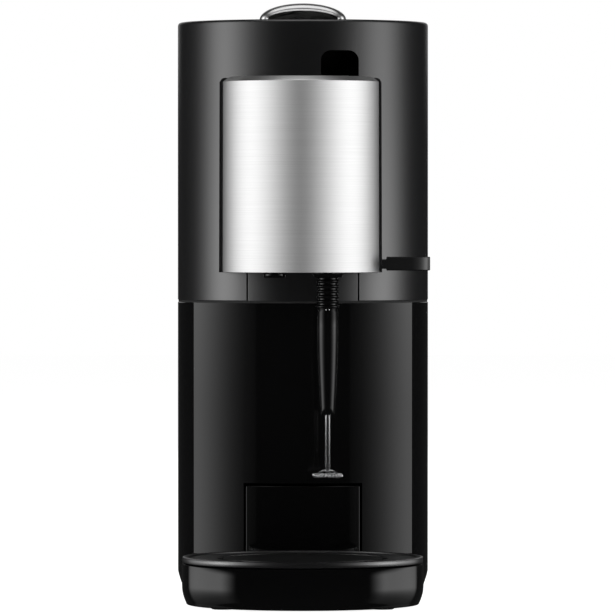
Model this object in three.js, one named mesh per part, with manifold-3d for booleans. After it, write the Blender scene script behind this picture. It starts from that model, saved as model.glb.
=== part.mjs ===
// Pod coffee machine with a lowering milk whisk. Millimetres, +Z up, front towards -Y.
// Origin: middle of the footprint, on the surface that the feet stand on.
import * as THREE from "three";
import { mergeVertices } from "three/addons/utils/BufferGeometryUtils.js";
import Module from "manifold-3d";

const wasm = await Module();
wasm.setup();

// Driving dimensions
const GAP = 0.3; // between pieces that touch
const WALL = 2.5;
const BEYOND = 400; // reaches past the whole object in a cut
const BODY_R = 65.6; // half width of the body and radius of its round front
const BODY_REAR = 100; // where the shells end and the rear cover starts
const SEAM_Z = 153.7; // bottom edge of the upper shell
const RIM_Z = 299; // top edge of the upper shell
const FLOOR_Z0 = 1.5; // the base plate
const FLOOR_Z1 = 4.5;
const FOOT_X = 48;
const FOOT_Y = { front: -20, rear: 158 };
const SCREW_X = 54.5;
const SCREW_Y = { front: 10, rear: 84 };
const PANEL_X = 28.6; // half width of the flush panel under the head
const PANEL_Z1 = 169;
const PANEL_TOP_Z = 296;
const PILLAR_X = 57; // inner edge of the side pillars of the lower column
const FRONT_R = 95; // radius of the lower front wall
const FRONT_Y = -51.5; // its foremost line
const TRAY_Y = -113.3; // centre of the round drip tray
const TRAY_R = 61.3;
const TRAY_TOP_Z = 21.6;
const SUPPORT_TOP_Z = 25; // top of the cup support's rim
const HEAD_Y = -70; // centre of the round head
const HEAD_X = -1.2; // the head stands a little left of the middle
const HEAD_R = 40.4;
const COLLAR_X = 41.6; // half width of the black collar behind the steel
const HEAD_Z0 = 168.7;
const HEAD_Z1 = 269;
const WHISK = { x: 12.7, y: -90, bottom: 63 };
const SPOUT = { x: -14.3, y: -90 };
const MOTOR = { x: 19, y: -50, r: 7.5, top: 195 };
const NOZZLE_Z = 96; // lower end of the tapered sleeve round the whisk shaft
const SLEEVE_Z = 150; // lower end of the ribbed sleeve
const CARRIAGE_Z0 = 170.5;
const CARRIAGE_Z1 = 173.5;
const BELT = { r: 5.3, thickness: 0.8, z0: 174, z1: 177.6 };
const RODS = { left: [-2, -77], right: [26.5, -82] };
const DUCT = { z: 243.5, hole: 6, r: 3.4 }; // coffee duct where it goes through the front wall
const GLAND = { x: -40, z: 12, r: 4.9 }; // cable gland in the rear cover
const HOSE_Z = 10.5; // the pump hose runs under the tank at this height
const SLOT = { x0: 9.3, x1: 28.8, top: 283, r: 5.2 };
const BREW_Y = -5; // brew chamber axis
const CHAMBER_Z = 236; // its lower edge
const PISTON_R = 18.8;
const PUMP = { x: 30, z: 190, r: 17, y0: 30, y1: 88 };
const BIN_X = 29.5; // half width of the used-pod bin
const BIN_TOP_Z = 58;
const TANK = { x: 62, y0: 104, y1: 174.6, z0: 20, z1: 286, r: 26, wall: 2.6 };
const VALVE_Y = 139;
const LID_THICKNESS = 4.4;
const LEVER = { x: 22.3, rise: 8.4, band: 4.4, y0: -58, y1: 66 };
const LEVER_PIVOT = { y: 78, z: 302.5, pinR: 2 };
const BUTTON = { x: 43, r: 6.5, ys: [-12, 14] };

// Materials
const material = (color, roughness, metalness) =>
  new THREE.MeshStandardMaterial({ color, roughness, metalness });
const satinBlack = material(0x1a1a1b, 0.42, 0);
const glossBlack = material(0x0b0b0c, 0.12, 0);
const steel = material(0xc4c4c4, 0.32, 1);
const darkPlastic = material(0x242425, 0.6, 0);
const smokedClear = material(0x3a3d40, 0.1, 0);
const rubber = material(0x151515, 0.9, 0);
const castMetal = material(0x9a9b9d, 0.5, 0.9);
const boardGreen = material(0x1d4a2c, 0.55, 0);

// Solids. A closed geometry becomes a solid, which add and subtract work on.
function solid(geometry) {
  const bare = geometry.clone();
  bare.deleteAttribute("normal");
  bare.deleteAttribute("uv");
  const merged = mergeVertices(bare, 1e-4);
  return new wasm.Manifold(
    new wasm.Mesh({
      numProp: 3,
      vertProperties: merged.attributes.position.array,
      triVerts: new Uint32Array(merged.index.array),
    }),
  );
}

function shapeOf(points) {
  return new THREE.Shape(points.map(([x, y]) => new THREE.Vector2(x, y)));
}

// A plan outline extruded from z0 to z1.
function prism(points, z0, z1) {
  const shape = Array.isArray(points) ? shapeOf(points) : points;
  const options = { depth: z1 - z0, bevelEnabled: false, curveSegments: 12 };
  const body = new THREE.ExtrudeGeometry(shape, options);
  return solid(body.translate(0, 0, z0));
}

// A closed body through plan outlines of equal point count, given as [z, points].
function loft(levels) {
  const count = levels[0][1].length;
  const positions = levels.flatMap(([z, points]) => points.flatMap(([x, y]) => [x, y, z]));
  const faces = [];
  for (let level = 0; level < levels.length - 1; level++) {
    for (let i = 0; i < count; i++) {
      const a = level * count + i;
      const b = level * count + ((i + 1) % count);
      faces.push(a, b, b + count, a, b + count, a + count);
    }
  }
  const outline = levels[0][1].map(([x, y]) => new THREE.Vector2(x, y));
  const cap = THREE.ShapeUtils.triangulateShape(outline, []);
  const top = (levels.length - 1) * count;
  for (const [a, b, c] of cap) faces.push(c, b, a, a + top, b + top, c + top);
  const geometry = new THREE.BufferGeometry();
  geometry.setAttribute("position", new THREE.Float32BufferAttribute(positions, 3));
  geometry.setIndex(faces);
  return solid(geometry);
}

function box(x0, x1, y0, y1, z0, z1) {
  const body = new THREE.BoxGeometry(x1 - x0, y1 - y0, z1 - z0);
  return solid(body.translate((x0 + x1) / 2, (y0 + y1) / 2, (z0 + z1) / 2));
}

// A profile of [radius, z] turned about the vertical line through x, y.
function turned(profile, x, y, segments = 18) {
  const points = profile.map(([r, z]) => new THREE.Vector2(r, z));
  const body = new THREE.LatheGeometry(points, segments).rotateX(Math.PI / 2);
  return solid(body.translate(x, y, 0));
}

function rod(x, y, r, z0, z1, segments = 16) {
  return turned([[0, z0], [r, z0], [r, z1], [0, z1]], x, y, segments);
}

function ring(x, y, r0, r1, z0, z1, segments = 18) {
  return turned([[r0, z0], [r1, z0], [r1, z1], [r0, z1], [r0, z0]], x, y, segments);
}

// A round bar along X or Y between two stations.
function bar(axis, r, from, to, across, z, segments = 16) {
  const body = new THREE.CylinderGeometry(r, r, to - from, segments);
  const middle = (from + to) / 2;
  if (axis === "x") body.rotateZ(Math.PI / 2).translate(middle, across, z);
  else body.translate(across, middle, z);
  return solid(body);
}

function tube(points, r, steps, sides = 8) {
  const stations = points.map((p) => new THREE.Vector3(...p));
  const path = new THREE.CatmullRomCurve3(stations, false, "centripetal");
  const section = new THREE.Shape().absarc(0, 0, r, 0, Math.PI * 2, false);
  const options = { steps, extrudePath: path, curveSegments: Math.ceil(sides / 2), bevelEnabled: false };
  return solid(new THREE.ExtrudeGeometry(section, options));
}

// Plan outline with a round front of the given half width about centreY, and a straight rear.
function bullet(half, centreY, rearY, segments = 28) {
  const points = [[half, rearY], [-half, rearY]];
  for (let i = 0; i <= segments; i++) {
    const angle = Math.PI + (Math.PI * i) / segments;
    points.push([half * Math.cos(angle), centreY + half * Math.sin(angle)]);
  }
  return points;
}

// Rectangle in plan whose two rear corners are rounded.
function rearRounded(inset, segments = 8) {
  const x = TANK.x - inset;
  const y0 = TANK.y0 + inset;
  const y1 = TANK.y1 - inset;
  const r = TANK.r - inset;
  const points = [[-x, y0], [x, y0]];
  for (const side of [0, 1]) {
    for (let i = 0; i <= segments; i++) {
      const angle = (side + i / segments) * (Math.PI / 2);
      const cx = side ? -x + r : x - r;
      points.push([cx + r * Math.cos(angle), y1 - r + r * Math.sin(angle)]);
    }
  }
  return points;
}

const group = new THREE.Group();

function addPart(name, body, surface) {
  const data = body.getMesh();
  const geometry = new THREE.BufferGeometry();
  geometry.setAttribute("position", new THREE.BufferAttribute(data.vertProperties, 3));
  geometry.setIndex(new THREE.BufferAttribute(data.triVerts, 1));
  geometry.computeVertexNormals();
  const mesh = new THREE.Mesh(geometry, surface);
  mesh.name = name;
  group.add(mesh);
}

// The lower front wall's arc: y at a given x, offset inwards by depth.
const frontWallY = (x, depth = 0) => FRONT_Y + FRONT_R - Math.sqrt((FRONT_R - depth) ** 2 - x * x);

function frontArc(halfX, depth, segments = 16) {
  const points = [];
  for (let i = 0; i <= segments; i++) {
    const x = -halfX + (2 * halfX * i) / segments;
    points.push([x, frontWallY(x, depth)]);
  }
  return points;
}

// Two places on each side of the middle, as [name, x, y].
function corners(x, ys) {
  return Object.entries(ys).flatMap(([end, y]) => [[`${end}_left`, -x, y], [`${end}_right`, x, y]]);
}

// Base: floor plate, feet and screws
function foot(x, y, top, pad = FLOOR_Z0 - GAP) {
  return turned([[0, 0], [6, 0], [6, pad], [2.5, pad], [2.5, top], [0, top]], x, y);
}

function buildBase() {
  const frontEdge = -32.2; // the drip tray starts in front of it
  let plate = prism(bullet(58.8, 0, BODY_REAR + 3.3), FLOOR_Z0, FLOOR_Z1);
  plate = plate.subtract(box(-BEYOND, BEYOND, -BEYOND, frontEdge, 0, FLOOR_Z1 + 1));
  const rearPlate = prism(rearRounded(3), FLOOR_Z0, FLOOR_Z1);
  plate = plate.add(rearPlate).add(box(-50, 50, BODY_REAR, TANK.y0 + 8, FLOOR_Z0, FLOOR_Z1));
  for (const [name, x, y] of corners(FOOT_X, FOOT_Y)) {
    plate = plate.subtract(rod(x, y, 2.8, 0, FLOOR_Z1 + 1));
    addPart(`foot_${name}`, foot(x, y, 4.2), rubber);
  }
  for (const [name, x, y] of corners(SCREW_X, SCREW_Y)) {
    plate = plate.subtract(rod(x, y, 3.6, 0, 3.3)).subtract(rod(x, y, 1.9, 0, FLOOR_Z1 + 1));
    const profile = [[0, 1.7], [3.2, 1.7], [3.2, 3], [1.5, 3], [1.5, 14], [0, 14]];
    addPart(`base_screw_${name}`, turned(profile, x, y, 12), steel);
  }
  addPart("base_chassis", plate, darkPlastic);
}

// Lower column: a shell with two pillars, and the front wall between them
function buildLowerColumn() {
  const footR = 62.1; // the shell draws in towards the floor
  const footZ = 12;
  const deckZ = SEAM_Z - 3.5; // underside of the deck that closes the column
  const outer = loft([
    [1.2, bullet(footR, 0, BODY_REAR)],
    [footZ, bullet(BODY_R, 0, BODY_REAR)],
    [SEAM_Z - 0.8, bullet(BODY_R, 0, BODY_REAR)],
  ]);
  const inner = loft([
    [0, bullet(footR - WALL, 0, BODY_REAR + 5)],
    [footZ, bullet(BODY_R - WALL, 0, BODY_REAR + 5)],
    [deckZ, bullet(BODY_R - WALL, 0, BODY_REAR + 5)],
  ]);
  let shell = outer.subtract(inner);
  shell = shell.subtract(box(-PILLAR_X, PILLAR_X, -BEYOND, -10, 0, deckZ));
  const boss = { r: 5, top: 22, bore: 1.8, boreTop: 16 };
  for (const [, x, y] of corners(SCREW_X, SCREW_Y)) {
    const ribX = x < 0 ? [-64, -56] : [56, 64];
    const rib = box(...ribX, y - 3, y + 3, footZ, boss.top);
    shell = shell.add(rod(x, y, boss.r, FLOOR_Z1 + GAP, boss.top)).add(rib);
    shell = shell.subtract(rod(x, y, boss.bore, 0, boss.boreTop, 12));
  }
  const brewHole = prism(bullet(24, BREW_Y, 40), deckZ - 1, SEAM_Z + 1);
  const hoseHole = box(-8, 34, 88, 99, deckZ - 1, SEAM_Z + 1);
  shell = shell.subtract(brewHole).subtract(hoseHole);
  const backLine = frontArc(PILLAR_X, WALL + GAP).reverse();
  const niche = [[-PILLAR_X, -BEYOND], [PILLAR_X, -BEYOND], ...backLine];
  shell = shell.subtract(prism(niche, 0, SEAM_Z + 1));
  addPart("lower_column_shell", shell, glossBlack);

  const face = frontArc(PILLAR_X - GAP, 0);
  const back = frontArc(PILLAR_X - GAP, WALL).reverse();
  let wall = prism([...face, ...back], TRAY_TOP_Z + 0.8, SEAM_Z - 0.8);
  wall = wall.subtract(box(-BIN_X - 1.2, BIN_X + 1.2, -BEYOND, 0, 0, BIN_TOP_Z + 1.4));
  addPart("column_front_panel", wall, glossBlack);
}

// Upper body: shell with the carriage slot, flush lower panel, top panel and rear cover
function buildUpperBody() {
  const outer = loft([
    [SEAM_Z, bullet(BODY_R, 0, BODY_REAR)],
    [RIM_Z - 1.8, bullet(BODY_R, 0, BODY_REAR)],
    [RIM_Z - 0.5, bullet(BODY_R - 0.5, 0, BODY_REAR)],
    [RIM_Z, bullet(BODY_R - 1.4, 0, BODY_REAR)],
  ]);
  const frontCut = [-BEYOND, -40]; // cuts go through the front wall only
  let shell = outer.subtract(prism(bullet(BODY_R - WALL, 0, BODY_REAR + 5), 0, BEYOND));
  const slotFoot = PANEL_Z1 - 9;
  const slotMiddle = [SLOT.x0 + SLOT.r, SLOT.x1 - SLOT.r];
  shell = shell.subtract(box(SLOT.x0, SLOT.x1, ...frontCut, slotFoot, SLOT.top - SLOT.r));
  shell = shell.subtract(box(...slotMiddle, ...frontCut, slotFoot, SLOT.top));
  for (const x of slotMiddle) {
    shell = shell.subtract(bar("y", SLOT.r, ...frontCut, x, SLOT.top - SLOT.r, 24));
  }
  shell = shell.subtract(box(-PANEL_X, PANEL_X, ...frontCut, 0, PANEL_Z1));
  shell = shell.subtract(bar("y", DUCT.hole, ...frontCut, SPOUT.x, DUCT.z));
  addPart("upper_body_shell", shell, satinBlack);

  const front = prism(bullet(BODY_R, 0, 0), SEAM_Z, PANEL_Z1 - GAP);
  const flush = front.subtract(prism(bullet(BODY_R - WALL, 0, 10), 0, BEYOND));
  const limit = box(-PANEL_X + GAP, PANEL_X - GAP, ...frontCut, 0, BEYOND);
  addPart("front_lower_panel", flush.intersect(limit), satinBlack);

  let top = prism(bullet(BODY_R - WALL - GAP, 0, BODY_REAR - GAP), PANEL_TOP_Z - 3, PANEL_TOP_Z);
  top = top.subtract(rod(0, BREW_Y, 20.5, PANEL_TOP_Z - 5, RIM_Z, 32));
  const ear = { x0: 11, x1: 15, r: 5 };
  for (const side of [-1, 1]) {
    for (const y of BUTTON.ys) {
      top = top.subtract(rod(side * BUTTON.x, y, BUTTON.r + 0.5, PANEL_TOP_Z - 5, RIM_Z));
    }
    const earX = side < 0 ? [-ear.x1, -ear.x0] : [ear.x0, ear.x1];
    const earY = [LEVER_PIVOT.y - ear.r, LEVER_PIVOT.y + ear.r];
    top = top.add(box(...earX, ...earY, PANEL_TOP_Z - 1, LEVER_PIVOT.z));
    top = top.add(bar("x", ear.r, ...earX, LEVER_PIVOT.y, LEVER_PIVOT.z));
  }
  top = top.subtract(bar("x", LEVER_PIVOT.pinR + GAP, -20, 20, LEVER_PIVOT.y, LEVER_PIVOT.z));
  addPart("top_panel", top, satinBlack);

  const coverX = BODY_R - 2.1;
  const through = [BODY_REAR - 5, BODY_REAR + 8];
  let rear = box(-coverX, coverX, BODY_REAR + GAP, BODY_REAR + 3, FLOOR_Z1 + GAP, RIM_Z - 2);
  rear = rear.subtract(bar("y", GLAND.r + GAP, ...through, GLAND.x, GLAND.z));
  rear = rear.subtract(bar("y", 4.4, ...through, 0, HOSE_Z));
  addPart("rear_cover", rear, satinBlack);
}

// Head: black housing behind a steel cover, bottom plate, spout and collar
function buildHead() {
  const bodyFront = prism(bullet(BODY_R + GAP, 0, 40), 0, BEYOND);
  const shift = (body) => body.translate([HEAD_X, 0, 0]);
  const frontShell = prism(bullet(HEAD_R - 1.4, HEAD_Y, -40), HEAD_Z0 + 0.5, HEAD_Z1 - 1.5);
  const collar = loft([
    [HEAD_Z0, bullet(COLLAR_X + 0.3, HEAD_Y, -40)],
    [HEAD_Z1 - 2.4, bullet(COLLAR_X - 0.4, HEAD_Y, -40)],
    [HEAD_Z1 - 0.4, bullet(COLLAR_X - 2.2, HEAD_Y, -40)],
  ]).intersect(box(-BEYOND, BEYOND, HEAD_Y + 0.8, 0, 0, BEYOND));
  let housing = frontShell.add(collar);
  housing = housing.subtract(prism(bullet(HEAD_R - 3.2, HEAD_Y, -30), 0, HEAD_Z1 - 3));
  const leverPath = box(30, BEYOND, HEAD_Y + 1.5, -60.8, 0, 261.5); // the side lever travels in it
  housing = shift(housing).subtract(bodyFront).subtract(leverPath);
  addPart("head_housing", housing, satinBlack);

  const skin = loft([
    [HEAD_Z0, bullet(HEAD_R + 0.2, HEAD_Y, HEAD_Y + 0.5)],
    [HEAD_Z1 - 2.1, bullet(HEAD_R, HEAD_Y, HEAD_Y + 0.5)],
    [HEAD_Z1, bullet(HEAD_R - 2.1, HEAD_Y, HEAD_Y + 0.5)],
  ]);
  const skinHollow = prism(bullet(HEAD_R - 1.1, HEAD_Y, 0), 0, HEAD_Z1 - 1.2);
  addPart("head_steel_cover", shift(skin.subtract(skinHollow)), steel);

  const plateTop = HEAD_Z0 + 1.4;
  let plate = shift(prism(bullet(HEAD_R - 3.5, HEAD_Y, -40), HEAD_Z0, plateTop)).subtract(bodyFront);
  plate = plate.subtract(rod(WHISK.x, WHISK.y, 7, HEAD_Z0 - 1, plateTop + 1));
  plate = plate.subtract(rod(SPOUT.x, SPOUT.y, 4.2, HEAD_Z0 - 1, plateTop + 1));
  addPart("head_bottom_plate", plate, darkPlastic);

  const under = HEAD_Z0 - GAP; // the spout and the collar hang from the plate's underside
  const spout = { bore: 2.6, neck: 3.9, flange: 5.9, z0: HEAD_Z0 - 2.6, z1: HEAD_Z0 + 3.3 };
  addPart("coffee_spout", turned([
    [spout.bore, spout.z0], [spout.flange, spout.z0], [spout.flange, under], [spout.neck, under],
    [spout.neck, spout.z1], [spout.bore, spout.z1], [spout.bore, spout.z0],
  ], SPOUT.x, SPOUT.y), glossBlack);
  const collarFoot = HEAD_Z0 - 2.4;
  const collarProfile = [[6.6, collarFoot], [7.4, collarFoot], [8.4, under], [6.6, under], [6.6, collarFoot]];
  addPart("whisk_collar", turned(collarProfile, WHISK.x, WHISK.y, 32), glossBlack);
  const duct = [
    [SPOUT.x, SPOUT.y, spout.z1 + 0.4], [SPOUT.x, SPOUT.y, DUCT.z - 11.5],
    [SPOUT.x, -79, DUCT.z - 0.5], [SPOUT.x, -33, DUCT.z - 0.5],
  ];
  addPart("coffee_duct", tube(duct, DUCT.r, 18), rubber);
}

// Frother: carriage on guide rods with lever, motor, belt drive, sleeve, nozzle and whisk
function buildFrother() {
  const areas = [[-6.5, 24, -96, -67.5], [20, 29, -88, -67.5], [22, 30.5, -87, -77], [11.5, 26.5, -70, -42]];
  const through = [CARRIAGE_Z0 - 1, CARRIAGE_Z1 + 1];
  let plate = areas.map((area) => box(...area, CARRIAGE_Z0, CARRIAGE_Z1)).reduce((a, b) => a.add(b));
  plate = plate.subtract(rod(WHISK.x, WHISK.y, 3.2, ...through));
  for (const [side, [x, y]] of Object.entries(RODS)) {
    plate = plate.subtract(rod(x, y, 2.55, ...through));
    addPart(`guide_rod_${side}`, rod(x, y, 2, HEAD_Z0 + 1.6, HEAD_Z1 - 3.3, 16), steel);
  }
  addPart("frother_carriage", plate, darkPlastic);

  const tipX = BODY_R - 2.6;
  const outline = [
    [29.3, -77], [31, -77], [35.5, -68], [tipX, -68], [BODY_R, -66.2], [BODY_R, -63.6],
    [tipX, -61.8], [36, -61.8], [29.3, -67.5],
  ];
  addPart("frother_lever", prism(outline, HEAD_Z0 + 1.8, CARRIAGE_Z1 + 1.9), glossBlack);

  const rib = { count: 7, pitch: 2.6, r: 5.9 };
  const tubeR = { inner: 3.6, outer: 5.2 };
  const sleeveTop = CARRIAGE_Z0 - GAP;
  const sleeve = [[tubeR.inner, SLEEVE_Z]];
  for (let i = 0; i < rib.count; i++) {
    const z = SLEEVE_Z + i * rib.pitch;
    sleeve.push([tubeR.outer, z], [rib.r, z + 0.7], [rib.r, z + 1.9]);
  }
  sleeve.push([tubeR.outer, SLEEVE_Z + rib.count * rib.pitch + 0.1], [tubeR.outer, sleeveTop]);
  sleeve.push([tubeR.inner, sleeveTop], [tubeR.inner, SLEEVE_Z]);
  addPart("frother_sleeve", turned(sleeve, WHISK.x, WHISK.y), glossBlack);
  const nozzleTop = SLEEVE_Z - GAP;
  const nozzle = { bore: 2.2, tip: 3.6, r: 5.4 };
  addPart("frother_nozzle", turned([
    [nozzle.bore, NOZZLE_Z], [nozzle.tip, NOZZLE_Z], [nozzle.r, nozzleTop - 9.7], [nozzle.r, nozzleTop],
    [nozzle.bore, nozzleTop], [nozzle.bore, NOZZLE_Z],
  ], WHISK.x, WHISK.y), glossBlack);

  const wire = { loop: 6.5, r: 1.3 };
  const discZ = WHISK.bottom + wire.r + GAP;
  const shaft = rod(WHISK.x, WHISK.y, 1.4, WHISK.bottom + 3, BELT.z0 + 4.5, 14);
  const disc = new THREE.TorusGeometry(wire.loop, wire.r, 6, 18).translate(WHISK.x, WHISK.y, discZ);
  const spokes = box(-6, 6, -0.8, 0.8, 1, 3.4).translate([WHISK.x, WHISK.y, WHISK.bottom]);
  addPart("whisk", shaft.add(solid(disc)).add(spokes), steel);
  const pulley = { bore: 1.7, r: BELT.r - GAP, z0: BELT.z0 + GAP, z1: BELT.z1 - GAP };
  for (const [name, { x, y }] of [["whisk", WHISK], ["motor", MOTOR]]) {
    addPart(`${name}_pulley`, ring(x, y, pulley.bore, pulley.r, pulley.z0, pulley.z1), darkPlastic);
  }
  const motorCase = rod(MOTOR.x, MOTOR.y, MOTOR.r, BELT.z1 + 1, MOTOR.top, 24);
  const motorShaft = rod(MOTOR.x, MOTOR.y, 1.3, CARRIAGE_Z1 + GAP, BELT.z1 + 2, 12);
  addPart("frother_motor", motorCase.add(motorShaft), castMetal);
  const loop = (r) => {
    const along = Math.atan2(MOTOR.y - WHISK.y, MOTOR.x - WHISK.x);
    const points = [];
    for (const [centre, start] of [[MOTOR, along - Math.PI / 2], [WHISK, along + Math.PI / 2]]) {
      for (let i = 0; i <= 8; i++) {
        const angle = start + (Math.PI * i) / 8;
        points.push([centre.x + r * Math.cos(angle), centre.y + r * Math.sin(angle)]);
      }
    }
    return points;
  };
  const belt = prism(loop(BELT.r + BELT.thickness), BELT.z0, BELT.z1);
  addPart("drive_belt", belt.subtract(prism(loop(BELT.r), BELT.z0 - 1, BELT.z1 + 1)), rubber);
}

// Pod lever on top, its pin, and the brew unit under the pod hole
function buildBrewing() {
  const arch = new THREE.Shape();
  arch.moveTo(LEVER.x, 0);
  arch.absellipse(0, 0, LEVER.x, LEVER.rise, 0, Math.PI, false, 0);
  const inner = [LEVER.x - LEVER.band, LEVER.rise - LEVER.band + 0.4];
  arch.lineTo(-inner[0], 0);
  arch.absellipse(0, 0, ...inner, Math.PI, 0, true, 0);
  const options = { depth: LEVER.y1 - LEVER.y0, bevelEnabled: false, curveSegments: 14 };
  const along = new THREE.ExtrudeGeometry(arch, options);
  along.rotateX(Math.PI / 2).translate(0, LEVER.y1, RIM_Z);
  const knuckleX = 9;
  const axis = [LEVER_PIVOT.y, LEVER_PIVOT.z];
  const neck = box(-knuckleX, knuckleX, LEVER.y1 - 6, LEVER_PIVOT.y, RIM_Z + 1, RIM_Z + 6.6);
  const knuckle = bar("x", 4.5, -knuckleX, knuckleX, ...axis);
  const bore = bar("x", LEVER_PIVOT.pinR + GAP, -20, 20, ...axis);
  addPart("pod_lever", solid(along).add(neck).add(knuckle).subtract(bore), steel);
  addPart("lever_pin", bar("x", LEVER_PIVOT.pinR, -15.5, 15.5, ...axis), steel);

  const chamberTop = CHAMBER_Z + 36;
  const pistonTop = CHAMBER_Z + 4;
  addPart("pod_chute", ring(0, BREW_Y, 20.8, 23, chamberTop + GAP, PANEL_TOP_Z - 3.3, 32), darkPlastic);
  addPart("brew_chamber", ring(0, BREW_Y, 19.5, 24, CHAMBER_Z, chamberTop, 32), castMetal);
  addPart("needle_plate", rod(0, BREW_Y, PISTON_R, pistonTop + GAP, pistonTop + 3, 32), steel);
  const stem = rod(0, BREW_Y, 7, pistonTop - 26, pistonTop - 12);
  addPart("brew_piston", rod(0, BREW_Y, PISTON_R, pistonTop - 14, pistonTop, 32).add(stem), darkPlastic);

  const cap = { z0: PANEL_TOP_Z - 6, rimZ: PANEL_TOP_Z - 4.2, z1: PANEL_TOP_Z + 1.4, rimR: 7.6 };
  const profile = [[0, cap.z0], [cap.rimR, cap.z0], [cap.rimR, cap.rimZ], [BUTTON.r, cap.rimZ]];
  profile.push([BUTTON.r, cap.z1], [0, cap.z1]);
  for (const [side, name] of [[-1, "left"], [1, "right"]]) {
    BUTTON.ys.forEach((y, i) => {
      const end = i ? "rear" : "front";
      addPart(`button_${name}_${end}`, turned(profile, side * BUTTON.x, y, 28), satinBlack);
    });
  }
}

// Parts held inside
function buildInternals() {
  const HOSE_R = 2.4;
  addPart("thermoblock", box(-54, -12, 34, PUMP.y1, 200, 250), castMetal);
  addPart("pump", bar("y", PUMP.r, PUMP.y0, PUMP.y1, PUMP.x, PUMP.z, 28), castMetal);
  const mount = { x: 21, thickness: 7, ys: { front: PUMP.y0 + 6, rear: PUMP.y1 - 12 } };
  for (const [name, y] of Object.entries(mount.ys)) {
    const block = box(PUMP.x - mount.x, PUMP.x + mount.x, y, y + mount.thickness, PUMP.z - 22, PUMP.z + 22);
    const seat = bar("y", PUMP.r + GAP, y - 1, y + mount.thickness + 1, PUMP.x, PUMP.z, 28);
    addPart(`pump_mount_${name}`, block.subtract(seat), rubber);
  }
  addPart("control_board", box(59, 60.6, -10, 90, 215, 280), boardGreen);
  const pumpRoute = [
    [PUMP.x, PUMP.y1 + 0.6, PUMP.z], [PUMP.x, 92, PUMP.z], [26, 94, 170], [14, 94, 120],
    [0, 94, 40], [0, 90, 14], [0, 93, HOSE_Z], [0, BODY_REAR - 0.4, HOSE_Z],
  ];
  addPart("pump_hose", tube(pumpRoute, HOSE_R, 26, 8), rubber);
  const brewRoute = [
    [-18, 33.4, 240], [-18, 30, 240], [-12, 28, 252], [0, 27, 256], [0, 23, 256], [0, 19.8, 256],
  ];
  addPart("brew_hose", tube(brewRoute, HOSE_R, 16, 8), rubber);
  const flange = { bore: 3.6, r: 7.5, z: 3 };
  const gland = turned([
    [flange.bore, -4], [GLAND.r, -4], [GLAND.r, GAP], [flange.r, GAP],
    [flange.r, flange.z], [flange.bore, flange.z], [flange.bore, -4],
  ], 0, 0);
  addPart("cable_gland", gland.rotate([-90, 0, 0]).translate([GLAND.x, BODY_REAR + 3.3, GLAND.z]), rubber);
}

// Water tank at the rear, with its seat, valve, seal and lid
function buildTank() {
  const valve = { z0: 13, z1: 28, r: 6, stem: 4 };
  const seal = { r: 9, z0: 14, z1: 18 };
  const seat = prism(rearRounded(2), FLOOR_Z1 + GAP, TANK.z0 - GAP)
    .subtract(rod(0, VALVE_Y, seal.r + GAP, 8, TANK.z0))
    .subtract(box(GLAND.x - 12, GLAND.x + 12, BODY_REAR, TANK.y0 + 8, 0, TANK.z0))
    .subtract(bar("y", 3, BODY_REAR - 5, VALVE_Y - 7, 0, HOSE_Z));
  addPart("tank_seat", seat, darkPlastic);
  const hollow = prism(rearRounded(TANK.wall), TANK.z0 + TANK.wall, TANK.z1 + 10);
  let tank = prism(rearRounded(0), TANK.z0, TANK.z1).subtract(hollow);
  tank = tank.subtract(rod(0, VALVE_Y, valve.stem + 0.4, 0, valve.z1 + 2));
  addPart("water_tank", tank, smokedClear);
  const valveProfile = [
    [0, valve.z0], [valve.r, valve.z0], [valve.r, TANK.z0 - GAP], [valve.stem, TANK.z0 - GAP],
    [valve.stem, valve.z1], [0, valve.z1],
  ];
  addPart("tank_valve", turned(valveProfile, 0, VALVE_Y), darkPlastic);
  addPart("tank_seal", ring(0, VALVE_Y, valve.r + GAP, seal.r, seal.z0, seal.z1), rubber);
  const lidZ = TANK.z1 + GAP;
  const barR = LID_THICKNESS / 2;
  const lidPivot = { y: TANK.y1 - barR, z: lidZ + barR };
  let lid = prism(rearRounded(0), lidZ, lidZ + LID_THICKNESS);
  lid = lid.subtract(box(-BEYOND, BEYOND, lidPivot.y, BEYOND, 0, BEYOND));
  addPart("tank_lid", lid.add(bar("x", barR, -34, 34, lidPivot.y, lidPivot.z)), satinBlack);
}

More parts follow.
